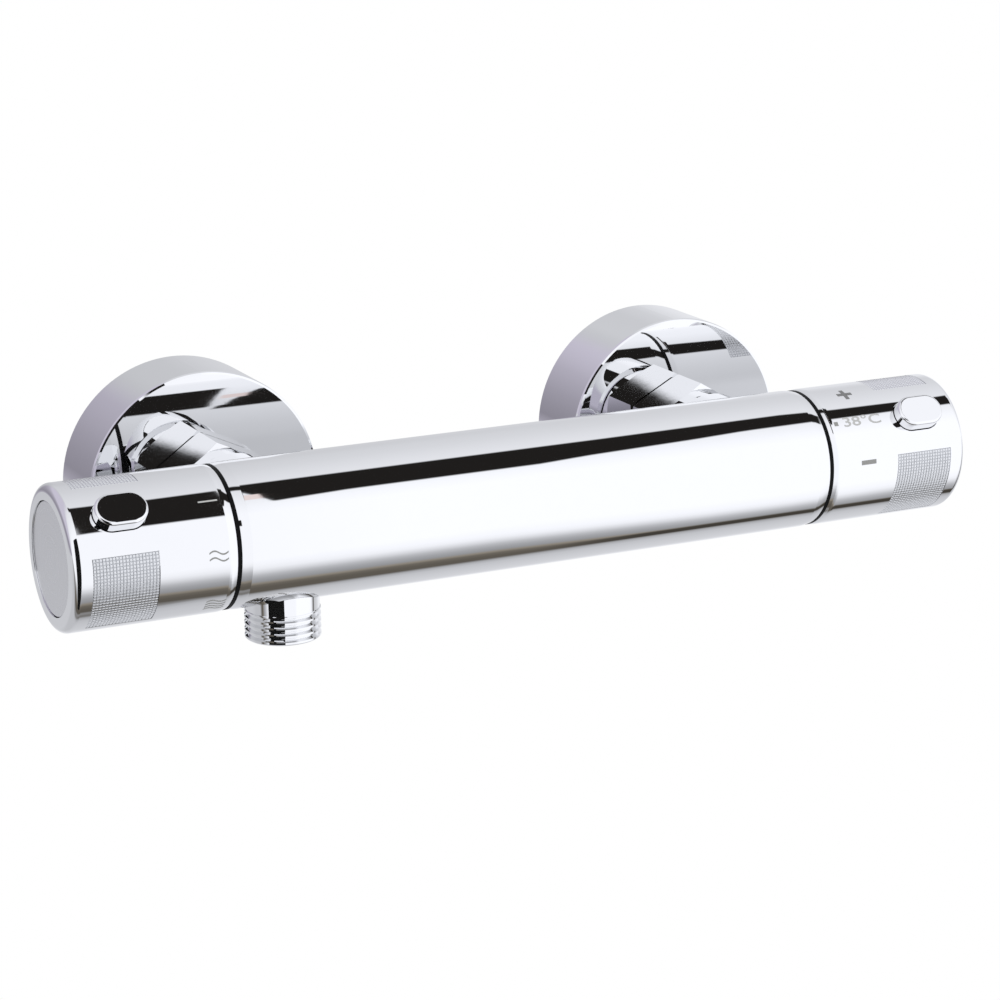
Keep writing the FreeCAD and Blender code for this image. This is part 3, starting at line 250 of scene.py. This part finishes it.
def turned_metal(name, colour, roughness, pitch, depth):
    """Metal with fine rings round the bar's axis."""
    material, nodes, shader = new_material(name)
    from_axis = nodes.new("ShaderNodeMapping", vector_type="POINT")
    from_axis.inputs["Location"].default_value = (0.0, -AXIS_Y, -AXIS_Z)
    nodes.link(own_place(nodes), from_axis.inputs[0])
    along, across, upwards = nodes.split(from_axis.outputs[0])
    squares = nodes.math("ADD", nodes.math("POWER", across, 2.0), nodes.math("POWER", upwards, 2.0))
    radius = nodes.math("SQRT", squares)
    rings = nodes.new("ShaderNodeTexNoise", noise_dimensions="1D")
    rings.inputs["Scale"].default_value = 1.0 / pitch
    rings.inputs["Detail"].default_value = 3.0
    nodes.link(nodes.math("ADD", radius, along), rings.inputs["W"])
    dark = tuple(c * 0.93 for c in colour)
    vary(nodes, shader, rings.outputs[0], dark, colour, metallic=1.0, roughness=roughness, rough_change=0.25,
         bump=depth, specular=0.5)
    return material


def make_materials():
    """One material for each slot of the record."""
    return {
        "chrome": surface(
            "chrome", (0.86, 0.865, 0.875), metallic=1.0, roughness=0.016, grain=260.0,
            colour_change=0.006, rough_change=0.45, bump=0.6 * MICRON),
        "satin_metal": turned_metal(
            "satin_metal", (0.80, 0.805, 0.815), roughness=0.30, pitch=0.35 * MM, depth=2.0 * MICRON),
        "black_plastic": surface(
            "black_plastic", (0.003, 0.003, 0.0033), metallic=0.0, roughness=0.5, grain=3500.0,
            colour_change=0.2, rough_change=0.2, bump=8.0 * MICRON, specular=0.1),
        "brass": turned_metal(
            "brass", (0.78, 0.60, 0.32), roughness=0.27, pitch=0.6 * MM, depth=6.0 * MICRON),
        "steel": surface(
            "steel", (0.60, 0.60, 0.60), metallic=1.0, roughness=0.30, grain=900.0,
            colour_change=0.06, rough_change=0.3, bump=4.0 * MICRON),
        "rubber": surface(
            "rubber", (0.028, 0.028, 0.029), metallic=0.0, roughness=0.62, grain=1800.0,
            colour_change=0.25, rough_change=0.15, bump=20.0 * MICRON),
        "white_plastic": surface(
            "white_plastic", (0.80, 0.80, 0.78), metallic=0.0, roughness=0.42, grain=1200.0,
            colour_change=0.03, rough_change=0.2, bump=10.0 * MICRON),
        "grey_plastic": surface(
            "grey_plastic", (0.25, 0.27, 0.30), metallic=0.0, roughness=0.48, grain=1600.0,
            colour_change=0.12, rough_change=0.2, bump=15.0 * MICRON),
        "ceramic": surface(
            "ceramic", (0.84, 0.83, 0.80), metallic=0.0, roughness=0.16, grain=700.0,
            colour_change=0.02, rough_change=0.3, bump=3.0 * MICRON),
        "copper": surface(
            "copper", (0.78, 0.42, 0.28), metallic=1.0, roughness=0.26, grain=600.0,
            colour_change=0.08, rough_change=0.3, bump=5.0 * MICRON),
    }


def dress_nodes(materials):
    """Give every CAD node the material of its slot in the record."""
    slots = {row["node"]: row["material_slot"] for row in frame["record"]["subparts"]}
    for name, obj in frame["nodes"].items():
        material = materials[slots[name]]
        if not obj.material_slots:
            obj.data.materials.append(material)
        for slot in obj.material_slots:
            slot.material = material


# ---------------------------------------------------------------- studio
def srgb(grey):
    """Linear value of an 8-bit screen grey."""
    v = grey / 255.0
    return v / 12.92 if v <= 0.04045 else ((v + 0.055) / 1.055) ** 2.4


def tinted(grey, tint):
    """Linear colour of a screen grey with a tint."""
    return tuple(srgb(grey) * share for share in tint)


def warm(grey):
    """Screen grey with a warm tint."""
    return tinted(grey, (1.12, 1.0, 0.84))


def cool(grey):
    """Screen grey with a faint cool tint."""
    return tinted(grey, (0.975, 0.985, 1.03))


def lavender(grey):
    """Screen grey with a lavender tint."""
    return tinted(grey, (0.98, 0.93, 1.10))


BLACK = (srgb(30) * 1.05, srgb(29), srgb(28))
PALE = (srgb(228), srgb(212), srgb(210))


class Studio(Nodes):
    """Nodes of the world, with a direction's share x along the bar and its angle round the bar.

    leaning_x changes a little with the angle too, for ends that aren't quite square.
    """

    def __init__(self, tree):
        super().__init__(tree)
        self.x, y, z = self.split(self.new("ShaderNodeTexCoord").outputs["Generated"])
        turn = self.math("ARCTAN2", z, self.math("MULTIPLY", y, -1.0))
        self.angle = self.math("MULTIPLY", turn, 180.0 / math.pi)
        self.leaning_x = self.math("MULTIPLY_ADD", self.math("SUBTRACT", self.angle, LEAN_FROM), LEAN, self.x)


def light_panels(studio):
    """Light panels round the bar, with the floor's shadow below it."""
    # The shadow starts sooner towards the left and later towards the right, by so many degrees
    front_edge = studio.curve(studio.x, [
        (0.29, -12.0), (0.318, -8.4), (0.334, -7.0), (0.336, -4.2), (0.38, -2.0), (0.415, 0.0),
        (0.445, 5.4), (0.475, 11.4), (0.50, 13.5), (0.53, 11.5),
    ], -50.0, 50.0)
    back_edge = studio.curve(studio.x, [(0.29, -3.0), (0.32, -6.0), (0.334, -6.0), (0.336, 0.0)], -50.0, 50.0)
    shift = studio.mix(studio.above(studio.angle, -86.0, 5.0), back_edge, front_edge)
    near_shadow = studio.between(studio.angle, (-115.0, 9.0), (-32.0, 8.0))
    shifted = studio.math("MULTIPLY_ADD", shift, near_shadow, studio.angle)
    panels = studio.ramp(shifted, [
        # Below and behind
        (-180.0, cool(206)), (-160.0, cool(235)), (-150.0, cool(226)), (-135.0, cool(208)),
        (-115.0, cool(201)), (-104.0, cool(193)), (-97.0, cool(172)),
        # The floor's shadow
        (-91.5, warm(86)), (-86.0, warm(88)), (-80.0, warm(101)), (-76.0, warm(132)),
        # The floor's light, up to the front panel
        (-72.0, cool(149)), (-66.0, cool(164)), (-60.0, cool(186)), (-54.0, cool(218)),
        (-48.0, cool(241)), (-42.0, cool(249)), (-30.0, cool(255)), (44.0, cool(255)),
        # The ceiling and the wall above
        (56.0, cool(250)), (78.0, cool(236)), (97.0, cool(228)), (130.0, cool(214)),
        (160.0, cool(205)), (180.0, cool(206)),
    ], -180.0, 180.0)
    left_shade = studio.both(studio.below(studio.x, 0.35, 0.05), 0.06)
    return studio.mix(left_shade, panels, (0.0, 0.0, 0.0))


def add_far_side(studio, panels):
    """The set behind the bar, darker towards the left, where it also comes further round."""
    right = studio.ramp(studio.x, [
        (-0.45, cool(188)), (0.0, cool(184)), (0.25, cool(192)), (0.42, cool(204)), (0.55, cool(226)),
        (0.70, cool(245)),
    ], -1.0, 1.0)
    full_angle = studio.math("WRAP", studio.angle, 360.0, 0.0)
    left = studio.ramp(full_angle, [
        (150.0, lavender(197)), (156.0, lavender(185)), (160.0, lavender(175)), (165.0, lavender(167)),
        (172.0, lavender(156)), (180.0, lavender(146)), (187.0, lavender(139)), (191.0, lavender(158)),
        (196.0, cool(196)), (206.0, cool(198)), (222.0, cool(188)),
    ], 140.0, 240.0)
    far = studio.mix(studio.below(studio.x, -0.08, 0.12), right, left)
    from_front = studio.math("ABSOLUTE", studio.angle)
    panels = studio.mix(studio.above(from_front, 158.0, 12.0), panels, far)
    left_side = studio.both(studio.below(studio.x, -0.05, 0.15), studio.above(from_front, 95.0, 12.0))
    return studio.mix(left_side, panels, far)


def add_floor_gap(studio, panels):
    """A gap in the floor's light, narrow and at the right only."""
    round_bar = studio.between(studio.angle, (-93.0, 1.2), (-84.0, 3.0))
    return studio.mix(studio.both(studio.above(studio.x, 0.44, 0.02), round_bar), panels, warm(60))


def black_strip(studio):
    """Mask of the black strip over the bar: two lengths, and a narrow tail to the left of them."""
    usual = USUAL_SOFTNESS
    # The right length's left end is cut aslant, and its lower edge rises to the right
    cut = studio.math("MULTIPLY_ADD", studio.math("SUBTRACT", CUT_FROM, studio.angle), CUT_SLOPE, CUT_PLACE)
    lower = studio.curve(studio.x, [
        (0.344, 58.0), (0.346, 59.4), (0.352, 60.3), (0.372, 63.2), (0.43, 63.0), (0.445, 66.8),
        (0.475, 70.5), (0.49, 73.9), (0.53, 75.0),
    ], 0.0, 100.0)
    upper = studio.curve(studio.x, [(0.45, 95.5), (0.50, 97.0), (0.514, 93.5)], 0.0, 100.0)
    right = studio.both(studio.between(studio.leaning_x, (cut, 0.0006), (0.72, 0.03)),
                        studio.between(studio.angle, (lower, usual), (upper, usual)))
    left = studio.both(studio.between(studio.leaning_x, (0.282, 0.002), (0.3345, 0.0006)),
                       studio.between(studio.angle, (46.7, usual), (91.0, usual)))
    tail = studio.both(studio.between(studio.x, (0.04, 0.01), (0.300, 0.004)),
                       studio.between(studio.angle, (85.0, usual), (93.0, usual)))
    return studio.either(studio.either(left, right), tail)


def black_flag(studio):
    """Mask of the narrow flag on the left of the set, with a wing over it that reaches further right."""
    flag = studio.both(studio.between(studio.x, (-0.64, 0.03), (-0.117, 0.002)),
                       studio.between(studio.angle, (4.0, USUAL_SOFTNESS), (28.0, 1.0)))
    wing = studio.both(studio.between(studio.x, (-0.20, 0.02), (0.073, 0.002)),
                       studio.between(studio.angle, (27.0, 1.0), (36.0, 1.0)))
    return studio.either(flag, wing)


def pale_card(studio):
    """Mask of the small pale card between the black strip's two lengths."""
    return studio.both(studio.between(studio.leaning_x, (0.3365, 0.0006), (0.3447, 0.0006)),
                       studio.between(studio.angle, (67.0, 1.0), (75.3, 1.0)))


def make_world():
    """Studio that the chrome mirrors, by direction alone; the camera sees plain white."""
    world = bpy.data.worlds.new("studio")
    world.use_nodes = True
    studio = Studio(world.node_tree)
    background = world.node_tree.nodes["Background"]
    panels = add_floor_gap(studio, add_far_side(studio, light_panels(studio)))
    black = studio.either(black_strip(studio), black_flag(studio))
    mirrored = studio.mix(pale_card(studio), studio.mix(black, panels, BLACK), PALE)

    path = studio.new("ShaderNodeLightPath")
    glossy, camera = path.outputs["Is Glossy Ray"], path.outputs["Is Camera Ray"]
    lit = studio.mix(glossy, ROOM_LIGHT, mirrored)
    studio.link(studio.mix(camera, lit, (1.0, 1.0, 1.0)), background.inputs["Color"])
    only_glossy = studio.both(glossy, studio.math("SUBTRACT", 1.0, camera))
    studio.link(studio.math("MULTIPLY_ADD", only_glossy, MIRROR_GAIN, 1.0), background.inputs["Strength"])
    bpy.context.scene.world = world


def add_sheet(name, corners, material):
    """Flat sheet with four corners."""
    mesh = bpy.data.meshes.new(name)
    mesh.from_pydata(corners, [], [(0, 1, 2, 3)])
    sheet = bpy.data.objects.new(name, mesh)
    sheet.data.materials.append(material)
    bpy.context.scene.collection.objects.link(sheet)
    return sheet


def make_floor():
    """Plain white floor, well below the valve that hangs on its wall."""
    material, nodes, shader = new_material("floor")
    shader.inputs["Base Color"].default_value = (0.9, 0.9, 0.9, 1.0)
    shader.inputs["Roughness"].default_value = 0.9
    glow = nodes.new("ShaderNodeEmission")
    blend = nodes.new("ShaderNodeMixShader")
    path = nodes.new("ShaderNodeLightPath")
    nodes.link(path.outputs["Is Camera Ray"], blend.inputs[0])
    nodes.link(shader.outputs[0], blend.inputs[1])
    nodes.link(glow.outputs[0], blend.inputs[2])
    nodes.link(blend.outputs[0], material.node_tree.nodes["Material Output"].inputs["Surface"])
    corners = [(u * FLOOR_HALF, v * FLOOR_HALF, FLOOR_LEVEL) for u, v in ((-1, -1), (1, -1), (1, 1), (-1, 1))]
    floor = add_sheet("floor", corners, material)
    floor.visible_glossy = False


def make_cards():
    """Two black cards beside the left end: its rounded edge mirrors one, the outlet the other."""
    end, front = flow_low[0], flow_low[1]
    near, far = front - 30.0 * MM, front - 270.0 * MM

    # Before the end, parallel to the wall
    left, right = end - 32.0 * MM, end + 6.0 * MM
    low, high = AXIS_Z - 106.0 * MM, AXIS_Z + 38.0 * MM
    end_card = [(left, near, low), (right, near, low), (right, near, high), (left, near, high)]

    # To the left of the outlet, square to the bar
    side = end - 15.0 * MM
    low, high = AXIS_Z - 150.0 * MM, AXIS_Z - 34.0 * MM
    outlet_card = [(side, near, low), (side, far, low), (side, far, high), (side, near, high)]

    material = surface("card", (0.012, 0.012, 0.012), metallic=0.0, roughness=0.9, grain=400.0, specular=0.0)
    for name, corners in (("end_card", end_card), ("outlet_card", outlet_card)):
        card = add_sheet(name, corners, material)
        card.visible_camera = card.visible_diffuse = card.visible_shadow = False


# ---------------------------------------------------------------- pieces
def on_bar(x, angle, radius):
    """Point at a place along the bar, an angle and a radius."""
    a = math.radians(angle)
    return Vector((x, AXIS_Y - radius * math.cos(a), AXIS_Z + radius * math.sin(a)))


def add_piece(name, bm, material, body):
    """Object from a closed mesh, which rides on a body."""
    mesh = bpy.data.meshes.new(name)
    bmesh.ops.recalc_face_normals(bm, faces=bm.faces)
    bm.to_mesh(mesh)
    bm.free()
    obj = bpy.data.objects.new(name, mesh)
    obj.data.materials.append(material)
    bpy.context.scene.collection.objects.link(obj)
    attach(obj, body)


def knurl_patch(name, x0, x1, centre, material, body):
    """Closed sheet of square pyramids that fills a shallow seat in a handle."""
    columns, rows = KNURL_COLUMNS, KNURL_ROWS
    low, high = centre - KNURL_HALF_ANGLE, centre + KNURL_HALF_ANGLE
    bm = bmesh.new()

    def vertex(i, j, radius):
        """Vertex at so many columns along the bar and so many rows round it."""
        return bm.verts.new(on_bar(x0 + (x1 - x0) * i / columns, low + (high - low) * j / rows, radius))

    def grid(radius):
        return [[vertex(i, j, radius) for j in range(rows + 1)] for i in range(columns + 1)]

    outer, inner = grid(KNURL_TOP_R - KNURL_DEPTH), grid(SEAT_R - SEAT_OVERLAP)
    half = KNURL_TOP_SHARE / 2.0
    for i in range(columns):
        for j in range(rows):
            base = [outer[i][j], outer[i + 1][j], outer[i + 1][j + 1], outer[i][j + 1]]
            top = [vertex(i + 0.5 + u * half, j + 0.5 + v * half, KNURL_TOP_R)
                   for u, v in ((-1, -1), (1, -1), (1, 1), (-1, 1))]
            bm.faces.new(top)
            for k in range(4):
                bm.faces.new((base[k], base[(k + 1) % 4], top[(k + 1) % 4], top[k]))
            bm.faces.new((inner[i][j], inner[i][j + 1], inner[i + 1][j + 1], inner[i + 1][j]))
    for i in range(columns):
        for j in (0, rows):
            bm.faces.new((outer[i][j], outer[i + 1][j], inner[i + 1][j], inner[i][j]))
    for j in range(rows):
        for i in (0, columns):
            bm.faces.new((outer[i][j], outer[i][j + 1], inner[i][j + 1], inner[i][j]))
    add_piece(name, bm, material, body)


def make_knurls():
    """Three patches on each handle, round it from its button."""
    material = surface("knurl_chrome", (0.74, 0.75, 0.765), metallic=1.0, roughness=0.32, grain=600.0,
                       colour_change=0.03)
    outer_end = -flow_low[0]
    for name, data in HANDLES.items():
        x0, x1 = sorted(data["side"] * (outer_end - inset) for inset in (KNURL_INNER, KNURL_OUTER))
        for k, offset in enumerate(KNURL_CENTRES):
            knurl_patch(f"{name}_knurl_{k + 1}", x0, x1, data["button"] + offset, material, data["body"])


def wrapped_mark(name, outlines, x, angle, material, body, height=MARK_HEIGHT):
    """Thin raised mark wrapped on the bar; outlines are in metres about its centre, along and up."""
    bm = bmesh.new()
    for outline in outlines:
        inner, outer = [
            [bm.verts.new(on_bar(x + u, angle + math.degrees(v / BAR_R), radius)) for u, v in outline]
            for radius in (BAR_R - MARK_SUNK, BAR_R + height)
        ]
        count = len(outline)
        for k in range(count):
            bm.faces.new((inner[k], inner[(k + 1) % count], outer[(k + 1) % count], outer[k]))
        faces = [bm.faces.new(outer), bm.faces.new(list(reversed(inner)))]
        bmesh.ops.triangulate(bm, faces=faces)
    add_piece(name, bm, material, body)


def strip_outlines(length, width, pieces=8):
    """Quads that make a straight bar along x, so that it can follow the curve."""
    half = width / 2.0
    edges = [-length / 2.0 + length * k / pieces for k in range(pieces + 1)]
    return [[(a, -half), (b, -half), (b, half), (a, half)] for a, b in zip(edges, edges[1:])]


def upright_outlines(length, width):
    """The same bar, upright."""
    return [[(-v, u) for u, v in quad] for quad in strip_outlines(length, width)]


def wave_outlines(length, height, width, lifts, pieces=16):
    """Quads along one period of a wave, once for each lift."""
    half = width / 2.0
    quads = []
    for lift in lifts:
        line = []
        for k in range(pieces + 1):
            rise = height / 2.0 * math.sin(2.0 * math.pi * k / pieces)
            line.append((-length / 2.0 + length * k / pieces, lift + rise))
        for (a, b), (c, d) in zip(line, line[1:]):
            quads.append([(a, b - half), (c, d - half), (c, d + half), (a, b + half)])
    return quads


def text_outlines(text, size, stretch):
    """Triangles of a plain sans text, centred and slightly bold; the text object itself isn't kept."""
    curve = bpy.data.curves.new("text", "FONT")
    curve.body = text
    curve.size = size
    curve.align_x, curve.align_y = "CENTER", "CENTER"
    curve.resolution_u = 3
    curve.offset = size * 0.012
    obj = bpy.data.objects.new("text", curve)
    mesh = bpy.data.meshes.new_from_object(obj)
    outlines = [[(mesh.vertices[i].co[0] * stretch, mesh.vertices[i].co[1]) for i in polygon.vertices]
                for polygon in mesh.polygons]
    bpy.data.objects.remove(obj)
    bpy.data.curves.remove(curve)
    bpy.data.meshes.remove(mesh)
    return outlines


def mark_material(name, colour, roughness, colour_change):
    """Grey of an etched mark."""
    return surface(name, colour, metallic=0.0, roughness=roughness, grain=2500.0,
                   colour_change=colour_change, rough_change=0.2)


def make_flow_marks(middle, pale):
    """Minus beside the button, little water at the front and much water below."""
    body = HANDLES["flow"]["body"]
    wrapped_mark("flow_minus", strip_outlines(5.3 * MM, 0.42 * MM), -96.3 * MM, 45.0, pale, body)
    little = wave_outlines(5.3 * MM, 1.1 * MM, 0.45 * MM, (-0.9 * MM, 0.9 * MM))
    wrapped_mark("flow_small_waves", little, -95.7 * MM, 1.6, middle, body)
    much = wave_outlines(5.6 * MM, 1.0 * MM, 0.5 * MM, [k * 1.3 * MM for k in (-1.5, -0.5, 0.5, 1.5)])
    wrapped_mark("flow_large_waves", much, -95.2 * MM, -46.6, middle, body)


def make_temperature_marks(dark, middle, pale):
    """Plus above, a dot and 38 °C beside the button, and minus at the front."""
    body = HANDLES["temperature"]["body"]
    length, width, x, angle = 4.8 * MM, 1.2 * MM, 101.6 * MM, 71.6
    wrapped_mark("temperature_plus_along", strip_outlines(length, width), x, angle, dark, body)
    wrapped_mark("temperature_plus_round", upright_outlines(length, width), x, angle, dark, body,
                 height=CROSSING_HEIGHT)
    half = 0.65 * MM
    dot = [[(-half, -half), (half, -half), (half, half), (-half, half)]]
    wrapped_mark("temperature_dot", dot, 93.6 * MM, 40.3, middle, body)
    wrapped_mark("temperature_38", text_outlines("38°C", 4.2 * MM, 1.45), 102.2 * MM, 40.4, pale, body)
    wrapped_mark("temperature_minus", strip_outlines(4.9 * MM, 1.3 * MM), 102.0 * MM, 4.7, middle, body)


def make_marks():
    """Flow and temperature marks, etched grey into the chrome of the handles."""
    dark = mark_material("mark_dark", (0.20, 0.20, 0.20), roughness=0.55, colour_change=0.1)
    middle = mark_material("mark_middle", (0.33, 0.33, 0.32), roughness=0.55, colour_change=0.08)
    pale = mark_material("mark_pale", (0.56, 0.56, 0.55), roughness=0.5, colour_change=0.06)
    make_flow_marks(middle, pale)
    make_temperature_marks(dark, middle, pale)


# ---------------------------------------------------------------- scene
bpy.context.scene.view_settings.view_transform = "Standard"
place_camera()
make_world()
make_floor()
make_cards()
dress_nodes(make_materials())
make_knurls()
make_marks()
